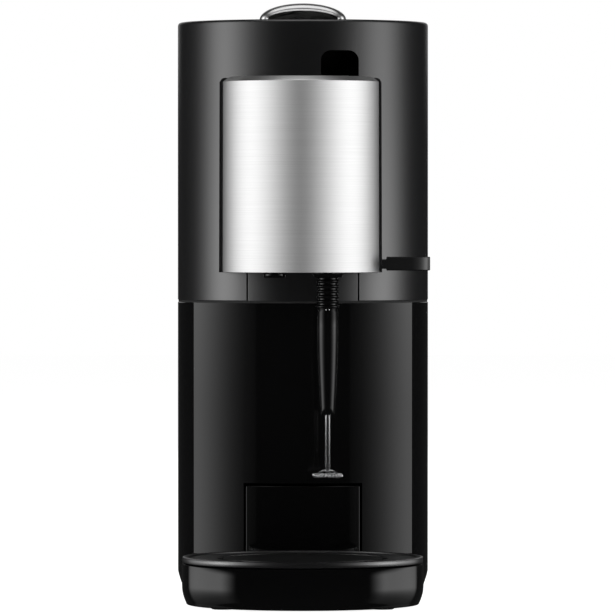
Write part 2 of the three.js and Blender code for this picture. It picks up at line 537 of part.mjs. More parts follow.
// Drip tray that pulls out forwards with the used-pod bin and the cup support
function buildDripTray() {
  const rearY = -33;
  const shelfZ = [5, 8]; // the shelf that carries the bin
  const tray = loft([
    [0.8, bullet(TRAY_R - 2.9, TRAY_Y, rearY)],
    [1.8, bullet(TRAY_R - 2, TRAY_Y, rearY)],
    [5.9, bullet(TRAY_R - 0.7, TRAY_Y, rearY)],
    [11, bullet(TRAY_R, TRAY_Y, rearY)],
    [TRAY_TOP_Z, bullet(TRAY_R, TRAY_Y, rearY)],
  ]);
  let basin = tray.subtract(prism(bullet(TRAY_R - 5, TRAY_Y, -70), 5.5, BEYOND));
  basin = basin.subtract(box(-BIN_X - 1, BIN_X + 1, -66, rearY + 3, shelfZ[1], BEYOND));
  basin = basin.add(box(-BIN_X, BIN_X, -50, 28, ...shelfZ));
  for (const [name, x] of [["left", -40], ["right", 40]]) {
    const y = TRAY_Y - 30;
    basin = basin.subtract(rod(x, y, 2.8, 0, 4)).subtract(rod(x, y, 6.4, 0, 2.3));
    addPart(`tray_foot_${name}`, foot(x, y, 3.6, 2), rubber);
  }
  addPart("drip_tray", basin, glossBlack);

  const rimR = TRAY_R - 0.2;
  const plateZ = [TRAY_TOP_Z + 0.4, SUPPORT_TOP_Z - 0.8];
  let support = turned([
    [0, plateZ[0]], [rimR, plateZ[0]], [rimR, SUPPORT_TOP_Z], [rimR - 2.8, SUPPORT_TOP_Z],
    [rimR - 3.2, plateZ[1]], [0, plateZ[1]],
  ], 0, TRAY_Y, 48);
  const groove = ring(0, TRAY_Y, 40.5, 43.5, TRAY_TOP_Z, BEYOND, 48);
  const bridge = 3; // half width of the four bridges that carry the inner plate
  const alongY = box(-bridge, bridge, -BEYOND, 0, 0, BEYOND);
  const alongX = box(-BEYOND, BEYOND, TRAY_Y - bridge, TRAY_Y + bridge, 0, BEYOND);
  support = support.subtract(groove.subtract(alongY).subtract(alongX));
  addPart("cup_support", support, satinBlack);

  const front = frontArc(BIN_X, 0, 10);
  const inner = frontArc(BIN_X - 2, 2, 10);
  const wall = 2;
  const binRear = 26;
  const floorZ = shelfZ[1] + GAP;
  const bin = prism([...front, [BIN_X, binRear], [-BIN_X, binRear]], floorZ, BIN_TOP_Z);
  const insideRear = [[BIN_X - wall, binRear - wall], [-BIN_X + wall, binRear - wall]];
  const inside = prism([...inner, ...insideRear], floorZ + wall, BEYOND);
  addPart("pod_bin", bin.subtract(inside), darkPlastic);
}

buildBase();
buildLowerColumn();
buildUpperBody();
buildHead();
buildFrother();
buildBrewing();
buildInternals();
buildTank();
buildDripTray();

export default group;
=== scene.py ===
# Looks of the pod coffee machine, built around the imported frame. Metres, +Z up, front towards -Y.
import math

import bmesh
import bpy
from mathutils import Matrix, Vector


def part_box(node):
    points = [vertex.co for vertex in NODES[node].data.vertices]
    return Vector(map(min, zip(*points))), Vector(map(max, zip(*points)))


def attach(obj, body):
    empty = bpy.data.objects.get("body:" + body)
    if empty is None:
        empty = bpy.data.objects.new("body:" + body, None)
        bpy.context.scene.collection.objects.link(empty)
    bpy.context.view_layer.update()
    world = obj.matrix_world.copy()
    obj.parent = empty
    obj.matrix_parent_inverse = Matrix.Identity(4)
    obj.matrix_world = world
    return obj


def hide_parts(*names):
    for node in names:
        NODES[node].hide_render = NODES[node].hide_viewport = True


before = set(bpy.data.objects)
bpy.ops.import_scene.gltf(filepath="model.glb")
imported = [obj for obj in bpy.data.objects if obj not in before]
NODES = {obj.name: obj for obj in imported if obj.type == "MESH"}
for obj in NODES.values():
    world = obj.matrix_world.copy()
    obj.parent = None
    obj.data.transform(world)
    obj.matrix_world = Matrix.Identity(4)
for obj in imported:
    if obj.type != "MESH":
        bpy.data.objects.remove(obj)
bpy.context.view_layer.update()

MM = 0.001
SIDES = 96  # facets round a large turned piece


# ---------- sizes, read from the frame ----------
class Box:
    def __init__(self, node):
        (self.x0, self.y0, self.z0), (self.x1, self.y1, self.z1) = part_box(node)
        self.cx = (self.x0 + self.x1) / 2
        self.cy = (self.y0 + self.y1) / 2
        self.cz = (self.z0 + self.z1) / 2


upper = Box("upper_body_shell")
lower = Box("lower_column_shell")
wall = Box("column_front_panel")
flush = Box("front_lower_panel")
steel_box = Box("head_steel_cover")
housing = Box("head_housing")
tray = Box("drip_tray")
support = Box("cup_support")
sleeve = Box("frother_sleeve")
nozzle = Box("frother_nozzle")
whisk = Box("whisk")
spout = Box("coffee_spout")
collar = Box("whisk_collar")
side_lever = Box("frother_lever")
pod_lever = Box("pod_lever")
top_panel = Box("top_panel")
tank = Box("water_tank")
lid = Box("tank_lid")
rear = Box("rear_cover")
pod_bin = Box("pod_bin")

BODY_R = upper.x1
WALL = 2.5 * MM
HEAD_X = steel_box.cx  # the head stands a little left of the middle
HEAD_R = (steel_box.x1 - steel_box.x0) / 2 - 0.2 * MM
HEAD_Y = steel_box.y1 - 0.5 * MM
TRAY_R = tray.x1
TRAY_Y = support.cy
FRONT_R = 95 * MM  # the lower front wall is flatter than the body
WALL_FRONT_Y = wall.y0
GAP = 0.3 * MM  # between neighbouring pieces
BEYOND = 10 * MM  # how far a cut runs past what it cuts
FRONT_SLICE = (-80 * MM, -40 * MM)  # y range of a cut through the body's round front
TOP_SLICE = (280 * MM, 310 * MM)  # z range of a cut through the top panel
QUARTER = math.pi / 2
BUTTONS = [f"button_{side}_{end}" for side in ("left", "right") for end in ("front", "rear")]


# ---------- which lights reach which pieces ----------
def lit_set(name):
    """A collection of the pieces that one pair of lights reaches, or leaves out."""
    collection = bpy.data.collections.new(name)
    bpy.context.scene.collection.children.link(collection)
    return collection


METAL_LIT = lit_set("metal_lit")
BASE_LIT = lit_set("base_lit")
BODY_UNLIT = lit_set("body_unlit")


def leave_out(obj):
    """Keeps the body's side lights off a piece that has lights of its own."""
    BODY_UNLIT.objects.link(obj)
    for member in BODY_UNLIT.collection_objects:
        member.light_linking.link_state = "EXCLUDE"


# ---------- camera, light and stage ----------
def make_camera():
    """Far away with a long lens, looking slightly down at the front."""
    distance, shift, eye_z, aim_z = 3.3, 2.4 * MM, 193.5 * MM, 149.7 * MM
    data = bpy.data.cameras.new("camera")
    data.lens = 368
    data.clip_end = 50
    camera = bpy.data.objects.new("camera", data)
    bpy.context.collection.objects.link(camera)
    eye = Vector((shift, -distance, eye_z))
    aim = Vector((shift, 0, aim_z))
    camera.location = eye
    camera.rotation_euler = (aim - eye).to_track_quat("-Z", "Y").to_euler()
    bpy.context.scene.camera = camera


def softbox(name, azimuth, distance, height, size, power):
    """An area light at an azimuth from the front, aimed at the middle of the machine."""
    data = bpy.data.lights.new(name, "AREA")
    data.shape = "RECTANGLE"
    data.size, data.size_y = size
    data.energy = power
    lamp = bpy.data.objects.new(name, data)
    bpy.context.collection.objects.link(lamp)
    angle = math.radians(azimuth)
    lamp.location = (distance * math.sin(angle), -distance * math.cos(angle), height)
    aim = Vector((0, 0, 160 * MM)) - lamp.location
    lamp.rotation_euler = aim.to_track_quat("-Z", "Y").to_euler()
    lamp.visible_camera = False


def hump(azimuth, strength, to_front, to_back):
    """Strength of a side light by azimuth: brightest at its middle, fading to front and back."""
    middle = 76
    falloff = to_front if azimuth < middle else to_back
    return strength * math.exp(-(((azimuth - middle) / falloff) ** 2))


def body_glow(azimuth):
    return hump(azimuth, 4.2, 23, 18)


def metal_glow(azimuth):
    """Broad, and still there in front."""
    return hump(azimuth, 2.2, 52, 46)


def base_glow(azimuth):
    """Cut off softly to the front, and weaker towards its rear end."""
    onset, full, end, last = 60, 80, 130, 136
    strength, share_left = 4.2, 0.2
    if azimuth < full:
        share = max(0, (azimuth - onset) / (full - onset))
        return strength * share * share * (3 - 2 * share)
    if azimuth < end:
        return strength * (1 - (1 - share_left) * (azimuth - full) / (end - full))
    return strength * share_left * (last - azimuth) / (last - end)


def curved_softbox(kind, side, reach, azimuths, glow_at, levels, only):
    """A tall curved light at one side, for the pieces in only; levels are (height, share of the strength)."""
    steps = 60
    first, last = azimuths
    name = f"{kind}_light_{side}"
    mesh = bpy.data.meshes.new(name)
    places, glow = [], []
    for i in range(steps + 1):
        azimuth = first + (last - first) * i / steps
        angle = math.radians(azimuth) * side
        for z, share in levels:
            places.append((reach * math.sin(angle), -reach * math.cos(angle), z))
            glow.append(share * glow_at(azimuth))
    count = len(levels)
    faces = [(i * count + k, (i + 1) * count + k, (i + 1) * count + k + 1, i * count + k + 1)
             for i in range(steps) for k in range(count - 1)]
    mesh.from_pydata(places, [], faces)
    mesh.attributes.new("glow", "FLOAT", "POINT").data.foreach_set("value", glow)
    mesh.materials.append(clear_light(name))
    panel = bpy.data.objects.new(name, mesh)
    bpy.context.collection.objects.link(panel)
    panel.visible_camera = False
    panel.visible_shadow = False
    panel.light_linking.receiver_collection = only


def clear_light(name):
    """A glow as strong as the mesh says, clear to look through, so that no light hides another."""
    material = bpy.data.materials.new(name)
    material.use_nodes = True
    tree = material.node_tree
    tree.nodes.clear()
    level = tree.nodes.new("ShaderNodeAttribute")
    level.attribute_name = "glow"
    emission = tree.nodes.new("ShaderNodeEmission")
    out = tree.nodes.new("ShaderNodeOutputMaterial")
    tree.links.new(level.outputs["Fac"], emission.inputs["Strength"])
    clear = tree.nodes.new("ShaderNodeBsdfTransparent")
    both = tree.nodes.new("ShaderNodeAddShader")
    tree.links.new(emission.outputs[0], both.inputs[0])
    tree.links.new(clear.outputs[0], both.inputs[1])
    tree.links.new(both.outputs[0], out.inputs["Surface"])
    return material


def make_world():
    """A dim room whose backdrop the camera alone sees as white."""
    scene = bpy.context.scene
    scene.view_settings.view_transform = "Standard"
    world = bpy.data.worlds.new("studio")
    scene.world = world
    world.use_nodes = True
    tree = world.node_tree
    tree.nodes.clear()
    out = tree.nodes.new("ShaderNodeOutputWorld")
    mix = tree.nodes.new("ShaderNodeMixShader")
    path = tree.nodes.new("ShaderNodeLightPath")
    room = tree.nodes.new("ShaderNodeBackground")
    backdrop = tree.nodes.new("ShaderNodeBackground")
    room.inputs["Color"].default_value = (0.022, 0.022, 0.022, 1)
    backdrop.inputs["Color"].default_value = (1, 1, 1, 1)
    tree.links.new(path.outputs["Is Camera Ray"], mix.inputs[0])
    tree.links.new(room.outputs[0], mix.inputs[1])
    tree.links.new(backdrop.outputs[0], mix.inputs[2])
    tree.links.new(mix.outputs[0], out.inputs["Surface"])


def make_lights():
    """Three lights on each side, the body's right one weaker high up, and two boxes above and behind."""
    body_heights = {side: [(-0.17, 1), (0.06, 1), (0.15, 1.3), (0.34, 0.86 * high_up), (1.3, 0.6 * high_up)]
                    for side, high_up in ((-1, 1), (1, 0.8))}
    base_heights = [(-0.9, 0.06), (-0.5, 0.15), (-0.35, 0.27), (-0.24, 0.47), (-0.16, 0.75), (-0.1, 1),
                    (0.2, 1), (0.3, 0)]
    metal_heights = [(-0.17, 1), (0.34, 1), (1.3, 0.7)]
    for side in (-1, 1):
        curved_softbox("body", side, 1.5, (30, 140), body_glow, body_heights[side], BODY_UNLIT)
        curved_softbox("base", side, 1.46, (60, 136), base_glow, base_heights, BASE_LIT)
        curved_softbox("metal", side, 1.54, (0, 160), metal_glow, metal_heights, METAL_LIT)
    softbox("top_box", 0, 0.35, 1.6, (1.2, 1.2), 8)
    softbox("rear_box", 180, 1.8, 0.9, (1.6, 1.2), 3.5)


def make_floor():
    size = 6
    floor_mesh = bpy.data.meshes.new("floor")
    corners = [(-size, -size, 0), (size, -size, 0), (size, size, 0), (-size, size, 0)]
    floor_mesh.from_pydata(corners, [], [(0, 1, 2, 3)])
    floor = bpy.data.objects.new("floor", floor_mesh)
    bpy.context.collection.objects.link(floor)
    floor_mesh.materials.append(floor_material())
    floor.visible_glossy = False
    floor.location.z = -0.2 * MM


def floor_material():
    material = bpy.data.materials.new("pale_floor")
    material.use_nodes = True
    shader = material.node_tree.nodes["Principled BSDF"]
    shader.inputs["Base Color"].default_value = (0.9, 0.9, 0.9, 1)
    shader.inputs["Roughness"].default_value = 0.9
    shader.inputs["Specular IOR Level"].default_value = 0
    shader.inputs["Emission Color"].default_value = (1, 1, 1, 1)
    shader.inputs["Emission Strength"].default_value = 0.97
    return material


# ---------- materials ----------
def surface(name, color, roughness, metallic=0.0, grain=2500, bump=0.02, spread=0.05, tint=0.15,
            stretch=(1, 1, 1), clear=0.0, specular=0.5):
    """A moulded, painted or metal surface whose grain moves its colour, roughness and relief a little."""
    material = bpy.data.materials.new(name)
    material.use_nodes = True
    tree = material.node_tree
    nodes, links = tree.nodes, tree.links
    shader = nodes["Principled BSDF"]
    shader.inputs["Metallic"].default_value = metallic
    shader.inputs["Specular IOR Level"].default_value = specular
    shader.inputs["Transmission Weight"].default_value = clear
    coordinates = nodes.new("ShaderNodeTexCoord")
    mapping = nodes.new("ShaderNodeMapping")
    mapping.inputs["Scale"].default_value = stretch
    noise = nodes.new("ShaderNodeTexNoise")
    noise.inputs["Scale"].default_value = grain
    noise.inputs["Detail"].default_value = 4
    links.new(coordinates.outputs["Object"], mapping.inputs["Vector"])
    links.new(mapping.outputs["Vector"], noise.inputs["Vector"])
    rough = nodes.new("ShaderNodeMapRange")
    rough.inputs["To Min"].default_value = max(0.02, roughness - spread)
    rough.inputs["To Max"].default_value = roughness + spread
    links.new(noise.outputs["Fac"], rough.inputs["Value"])
    links.new(rough.outputs["Result"], shader.inputs["Roughness"])
    ramp = nodes.new("ShaderNodeMix")
    ramp.data_type = "RGBA"
    ramp.inputs["A"].default_value = [c * (1 - tint) for c in color] + [1]
    ramp.inputs["B"].default_value = [min(1, c * (1 + tint)) for c in color] + [1]
    links.new(noise.outputs["Fac"], ramp.inputs["Factor"])
    links.new(ramp.outputs["Result"], shader.inputs["Base Color"])
    relief = nodes.new("ShaderNodeBump")
    relief.inputs["Strength"].default_value = bump
    relief.inputs["Distance"].default_value = 0.1 * MM
    links.new(noise.outputs["Fac"], relief.inputs["Height"])
    links.new(relief.outputs["Normal"], shader.inputs["Normal"])
    return material


LOOKS = {
    "satin_black": surface("satin_black", (0.0045, 0.0045, 0.0048), 0.31, grain=3500, bump=0.05, spread=0.03,
                           specular=0.75),
    "gloss_black": surface("gloss_black", (0.0022, 0.0022, 0.0023), 0.07, grain=60, bump=0.0015, spread=0.006,
                           specular=0.2),
    "button_black": surface("button_black", (0.02, 0.02, 0.021), 0.5, grain=4000, bump=0.08),
    "steel_brushed": surface("steel_brushed", (0.54, 0.54, 0.54), 0.35, 1, grain=40, bump=0.1, spread=0.05,
                             tint=0.16, stretch=(0.6, 0.6, 90)),
    "steel_satin": surface("steel_satin", (0.5, 0.5, 0.5), 0.3, 1, grain=40, bump=0.06, spread=0.05,
                           tint=0.08, stretch=(1, 60, 60)),
    "steel_plain": surface("steel_plain", (0.58, 0.58, 0.59), 0.18, 1, grain=900, bump=0.02),
    "dark_plastic": surface("dark_plastic", (0.018, 0.018, 0.019), 0.55, grain=3000, bump=0.1),
    "smoked_tank": surface("smoked_tank", (0.12, 0.125, 0.13), 0.05, grain=40, bump=0.01, spread=0.02,
                           clear=0.8),
    "rubber_black": surface("rubber_black", (0.012, 0.012, 0.012), 0.75, grain=2500, bump=0.2, specular=0.3),
    "cast_metal": surface("cast_metal", (0.45, 0.45, 0.46), 0.45, 1, grain=1200, bump=0.25),
    "circuit_board": surface("circuit_board", (0.012, 0.07, 0.025), 0.4, grain=500, bump=0.1, tint=0.3),
}


# ---------- shape tools ----------
def mesh_object(name, bm, smooth_angle=32):
    mesh = bpy.data.meshes.new(name)
    bmesh.ops.recalc_face_normals(bm, faces=bm.faces)
    bm.to_mesh(mesh)
    bm.free()
    obj = bpy.data.objects.new(name, mesh)
    bpy.context.collection.objects.link(obj)
    smooth(obj, smooth_angle)
    return obj


def smooth(obj, angle=32):
    for polygon in obj.data.polygons:
        polygon.use_smooth = True
    obj.data.set_sharp_from_angle(angle=math.radians(angle))


def bullet(half, centre_y, rear_y, centre_x=0.0):
    """Plan outline: a round front about centre_y, straight sides and a square rear."""
    points = [(half, rear_y), (-half, rear_y)]
    for i in range(SIDES + 1):
        angle = math.pi + math.pi * i / SIDES
        points.append((half * math.cos(angle), centre_y + half * math.sin(angle)))
    return [(x + centre_x, y) for x, y in points]


def head_outline(half, rear_y):
    return bullet(half, HEAD_Y, rear_y, centre_x=HEAD_X)


def skin(bm, rings):
    """Faces between neighbouring rings of equal count, and a cap on each end."""
    count = len(rings[0])
    for near, far in zip(rings, rings[1:]):
        for i in range(count):
            j = (i + 1) % count
            bm.faces.new((near[i], near[j], far[j], far[i]))
    bm.faces.new(rings[0][::-1])
    bm.faces.new(rings[-1])


def loft(name, levels, smooth_angle=32):
    """A closed piece through plan outlines of equal count, given as (z, points)."""
    bm = bmesh.new()
    skin(bm, [[bm.verts.new((x, y, z)) for x, y in points] for z, points in levels])
    return mesh_object(name, bm, smooth_angle)


def prism(name, outline, z0, z1):
    return loft(name, [(z0, outline), (z1, outline)])


def turned(name, profile, x, y, sides=SIDES, smooth_angle=32):
    """A profile of (radius, z) turned about a vertical line; one that stays off the line makes a ring."""
    bm = bmesh.new()
    rings = []
    for r, z in profile:
        if r < 1e-7:
            rings.append([bm.verts.new((x, y, z))])
            continue
        angles = [2 * math.pi * i / sides for i in range(sides)]
        rings.append([bm.verts.new((x + r * math.cos(a), y + r * math.sin(a), z)) for a in angles])
    pairs = list(zip(rings, rings[1:]))
    if len(rings[0]) > 1 and len(rings[-1]) > 1:
        pairs.append((rings[-1], rings[0]))
    for first, second in pairs:
        for i in range(sides):
            j = (i + 1) % sides
            if len(first) == 1:
                bm.faces.new((first[0], second[j], second[i]))
            elif len(second) == 1:
                bm.faces.new((first[i], first[j], second[0]))
            else:
                bm.faces.new((first[i], first[j], second[j], second[i]))
    return mesh_object(name, bm, smooth_angle)


def lathed(name, profile, box, sides):
    """A profile in millimetres, from the underside of a node's box, turned about its middle."""
    return turned(name, [(r * MM, box.z0 + z * MM) for r, z in profile], box.cx, box.cy, sides)


def block(name, x0, x1, y0, y1, z0, z1):
    bm = bmesh.new()
    bmesh.ops.create_cube(bm, size=1)
    centre = Matrix.Translation(((x0 + x1) / 2, (y0 + y1) / 2, (z0 + z1) / 2))
    bm.transform(centre @ Matrix.Diagonal((x1 - x0, y1 - y0, z1 - z0, 1)))
    return mesh_object(name, bm)


def cylinder(name, axis, r, start, end, u, v, sides=64):
    """A round bar along an axis, with its centre line at u, v on the other two."""
    bm = bmesh.new()
    bmesh.ops.create_cone(bm, cap_ends=True, segments=sides, radius1=r, radius2=r, depth=end - start)
    middle = (start + end) / 2
    if axis == "x":
        bm.transform(Matrix.Translation((middle, u, v)) @ Matrix.Rotation(QUARTER, 4, "Y"))
    elif axis == "y":
        bm.transform(Matrix.Translation((u, middle, v)) @ Matrix.Rotation(QUARTER, 4, "X"))
    else:
        bm.transform(Matrix.Translation((u, v, middle)))
    return mesh_object(name, bm)


def apply_modifiers(obj):
    graph = bpy.context.evaluated_depsgraph_get()
    mesh = bpy.data.meshes.new_from_object(obj.evaluated_get(graph))
    obj.modifiers.clear()
    obj.data = mesh


def combine(obj, others, operation="DIFFERENCE"):
    """Cuts, joins or intersects obj with each of the others, which are used up."""
    for other in others:
        modifier = obj.modifiers.new("boolean", "BOOLEAN")
        modifier.operation = operation
        modifier.object = other
        modifier.solver = "EXACT"
        apply_modifiers(obj)
        mesh = other.data
        bpy.data.objects.remove(other)
        bpy.data.meshes.remove(mesh)


def soften(obj, width, segments=3, angle=35):
    """Rounds the edges that turn by more than the angle."""
    modifier = obj.modifiers.new("bevel", "BEVEL")
    modifier.width = width
    modifier.segments = segments
    modifier.limit_method = "ANGLE"
    modifier.angle_limit = math.radians(angle)
    modifier.use_clamp_overlap = True
    modifier.harden_normals = True
    apply_modifiers(obj)


def place(obj, body, look, *nodes, slot=None):
    """Gives a finished piece its material, its body and the CAD nodes that it stands for."""
    obj.data.materials.clear()
    obj.data.materials.append(LOOKS[look])
    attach(obj, body)
    if nodes:
        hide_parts(*nodes)


# ---------- casings ----------
def make_upper_shell():
    top, edge, chamfer, steps = upper.z1, 1.8 * MM, 0.4 * MM, 6
    outer = [(upper.z0, bullet(BODY_R - chamfer, 0, upper.y1))]
    outer.append((upper.z0 + chamfer, bullet(BODY_R, 0, upper.y1)))
    for i in range(steps + 1):
        angle = i / steps * QUARTER
        inset = edge * (1 - math.cos(angle))
        outer.append((top - edge + edge * math.sin(angle), bullet(BODY_R - inset, 0, upper.y1)))
    shell = loft("upper_shell", outer)
    core = bullet(BODY_R - WALL, 0, upper.y1 + BEYOND)
    slot_x0, slot_x1, slot_bottom, slot_top, corner = 9.3 * MM, 28.8 * MM, 160 * MM, 283 * MM, 5.2 * MM
    duct_r, duct_z = 6 * MM, 243.5 * MM
    seam_gap = 0.8 * MM  # shows as a dark line beside the flush panel
    cutters = [
        prism("cut", core, upper.z0 - BEYOND, top + BEYOND),
        block("cut", slot_x0, slot_x1, *FRONT_SLICE, slot_bottom, slot_top - corner),
        block("cut", slot_x0 + corner, slot_x1 - corner, *FRONT_SLICE, slot_bottom + 2 * MM, slot_top),
        cylinder("cut", "y", corner, *FRONT_SLICE, slot_x0 + corner, slot_top - corner),
        cylinder("cut", "y", corner, *FRONT_SLICE, slot_x1 - corner, slot_top - corner),
        block("cut", flush.x0 - seam_gap, flush.x1 + seam_gap, *FRONT_SLICE,
              flush.z0 - BEYOND, flush.z1 + GAP),
        cylinder("cut", "y", duct_r, *FRONT_SLICE, spout.cx, duct_z),
    ]
    combine(shell, cutters)
    soften(shell, 0.35 * MM, 2)
    place(shell, "chassis", "satin_black", "upper_body_shell")


def make_seam_lip():
    """A dark ring in the seam between the two shells, so that no light comes through it."""
    radius, wide, overlap = BODY_R - GAP, MM, 0.2 * MM
    z0, z1 = lower.z1 - overlap, upper.z0 + overlap
    lip = prism("seam_lip", bullet(radius, 0, upper.y1 - 0.5 * MM), z0, z1)
    inside = bullet(radius - wide, 0, upper.y1 + BEYOND)
    combine(lip, [prism("cut", inside, z0 - BEYOND, z1 + BEYOND)])
    smooth(lip)
    place(lip, "chassis", "rubber_black")


def make_flush_panel():
    z0, z1 = flush.z0 - BEYOND, flush.z1 + BEYOND
    panel = prism("lower_front_panel", bullet(BODY_R, 0, 10 * MM), flush.z0, flush.z1)
    combine(panel, [prism("cut", bullet(BODY_R - WALL, 0, 20 * MM), z0, z1)])
    combine(panel, [block("keep", flush.x0, flush.x1, *FRONT_SLICE, z0, z1)], "INTERSECT")
    soften(panel, 0.5 * MM)
    place(panel, "chassis", "satin_black", "front_lower_panel")


def make_top_panel():
    z0, z1 = 293 * MM, 296 * MM
    chute_r, chute_y, button_r = 20.5 * MM, -5 * MM, 7 * MM
    ear_x0, ear_x1, ear_r, pin_r = 11 * MM, 15 * MM, 5 * MM, 2.3 * MM
    panel = prism("top_panel_plate", bullet(BODY_R - WALL - GAP, 0, top_panel.y1), z0, z1)
    cutters = [cylinder("cut", "z", chute_r, *TOP_SLICE, 0, chute_y, 96)]
    for name in BUTTONS:
        box = Box(name)
        cutters.append(cylinder("cut", "z", button_r, *TOP_SLICE, box.cx, box.cy, 48))
    combine(panel, cutters)
    pin = Box("lever_pin")
    ears = []
    for side in (-1, 1):
        x0, x1 = sorted((side * ear_x0, side * ear_x1))
        ears.append(block("ear", x0, x1, pin.cy - ear_r, pin.cy + ear_r, z1 - MM, pin.cz))
        ears.append(cylinder("ear", "x", ear_r, x0, x1, pin.cy, pin.cz))
    combine(panel, ears, "UNION")
    combine(panel, [cylinder("cut", "x", pin_r, -ear_x1 - BEYOND, ear_x1 + BEYOND, pin.cy, pin.cz)])
    soften(panel, 0.5 * MM)
    place(panel, "chassis", "satin_black", "top_panel")


def make_buttons():
    for name in BUTTONS:
        box = Box(name)
        r, top, flange_r, flange, edge, dish = 6.5 * MM, box.z1, 7.6 * MM, 1.8 * MM, 0.9 * MM, 0.55 * MM
        profile = [(0, box.z0), (flange_r, box.z0), (flange_r, box.z0 + flange), (r, box.z0 + flange)]
        for i in range(6):
            angle = i / 5 * QUARTER
            profile.append((r - edge * (1 - math.cos(angle)), top - edge * (1 - math.sin(angle))))
        for i in range(1, 8):
            share = i / 7
            profile.append(((r - edge) * (1 - share), top - dish * math.sin(share * QUARTER)))
        cap = turned(f"{name}_cap", profile, box.cx, box.cy, 64)
        place(cap, name, "button_black", name)
        r0, r1, low, high = 1.5 * MM, 1.9 * MM, top - 0.45 * MM, top - 0.3 * MM
        ring = [(r0, low), (r1, low), (r1, high), (r0, high)]
        mark = turned(f"{name}_mark", ring, box.cx, box.cy, 40)
        place(mark, name, "steel_plain")


def arc_front(depth, half, segments=48):
    """Points of the flatter lower front wall, from left to right."""
    centre = WALL_FRONT_Y + FRONT_R
    xs = [-half + 2 * half * i / segments for i in range(segments + 1)]
    return [(x, centre - math.sqrt((FRONT_R - depth) ** 2 - x * x)) for x in xs]


def make_lower_column():
    z0, z1 = lower.z0, lower.z1
    taper, taper_height, chamfer = 3.5 * MM, 10.8 * MM, 0.4 * MM
    outer = []
    for i in range(9):
        share = i / 8
        outer.append((z0 + taper_height * share, bullet(BODY_R - taper * (1 - share) ** 1.25, 0, lower.y1)))
    outer.append((z1 - chamfer, bullet(BODY_R, 0, lower.y1)))
    outer.append((z1, bullet(BODY_R - chamfer, 0, lower.y1)))
    shell = loft("column_shell", outer)
    inner, ceiling, past_rear = BODY_R - WALL, z1 - 2.7 * MM, lower.y1 + BEYOND
    core = loft("cut", [(z0 - BEYOND, bullet(inner - taper, 0, past_rear)),
                        (z0 + taper_height, bullet(inner, 0, past_rear)),
                        (ceiling, bullet(inner, 0, past_rear))])
    pillar, before = wall.x1 + GAP, -70 * MM
    chute_r, chute_y = 26 * MM, -5 * MM
    through = (z1 - BEYOND, z1 + BEYOND)
    in_front = arc_front(WALL + GAP, pillar)[::-1] + [(-pillar, before), (pillar, before)]
    cutters = [
        core,
        block("cut", -pillar, pillar, before, -10 * MM, -BEYOND, ceiling),
        cylinder("cut", "z", chute_r, *through, 0, chute_y),
        block("cut", -8 * MM, 34 * MM, 88 * MM, 99 * MM, *through),  # where the hoses pass
        prism("cut", in_front, -BEYOND, z1 + BEYOND),
    ]
    combine(shell, cutters)
    soften(shell, 0.4 * MM)
    place(shell, "chassis", "gloss_black", "lower_column_shell")

    outline = arc_front(0, wall.x1) + arc_front(WALL, wall.x1)[::-1]
    face = prism("column_front_wall", outline, wall.z0, wall.z1)
    gap, gap_above = 1.2 * MM, 1.4 * MM
    combine(face, [block("cut", pod_bin.x0 - gap, pod_bin.x1 + gap, before, 0, 0, pod_bin.z1 + gap_above)])
    soften(face, 0.4 * MM)
    place(face, "chassis", "gloss_black", "column_front_panel")


def make_rear():
    cover = block("rear_cover_plate", rear.x0, rear.x1, rear.y0, rear.y1, rear.z0, rear.z1)
    through = (rear.y0 - BEYOND, rear.y1 + BEYOND)
    for r, x, z in ((5.2 * MM, -40 * MM, 12 * MM), (4.4 * MM, 0, 10.5 * MM)):  # cable gland and tank seat
        combine(cover, [cylinder("cut", "y", r, *through, x, z)])
    soften(cover, 0.8 * MM)
    place(cover, "chassis", "satin_black", "rear_cover")


# ---------- head ----------
def make_steel_cover():
    """The brushed cover with its sloping top edge; it leaves a gap to the housing, wider on the left."""
    z0, z1 = steel_box.z0, steel_box.z1
    rear_y = steel_box.y1
    bevel, slope, thick = 3 * MM, 3.3 * MM, 1.1 * MM
    shift, shrink = 0.2 * MM, 0.99
    outer = [(z0, head_outline(HEAD_R + 0.2 * MM, rear_y))]
    outer.append((z1 - bevel - 0.5 * MM, head_outline(HEAD_R, rear_y)))
    for i in range(6):
        share = i / 5
        inset = 0.25 * MM * share ** 2 + (slope - 0.25 * MM) * max(0, share - 0.2) / 0.8
        outer.append((z1 - bevel + bevel * share, head_outline(HEAD_R - inset, rear_y)))
    cover = loft("steel_cover", outer, 20)
    combine(cover, [prism("cut", head_outline(HEAD_R - thick, rear_y + BEYOND), z0 - BEYOND, z1 - 2.6 * MM)])
    for vertex in cover.data.vertices:
        vertex.co.x = HEAD_X + shift + shrink * (vertex.co.x - HEAD_X)
    soften(cover, 0.25 * MM, 2, 30)
    place(cover, "chassis", "steel_brushed", "head_steel_cover")
    METAL_LIT.objects.link(cover)
    leave_out(cover)


def body_cutter():
    """What the head's pieces are cut back from: the upper shell with a gap round it."""
    return prism("cut", bullet(BODY_R + GAP, 0, 40 * MM), upper.z0, upper.z1)


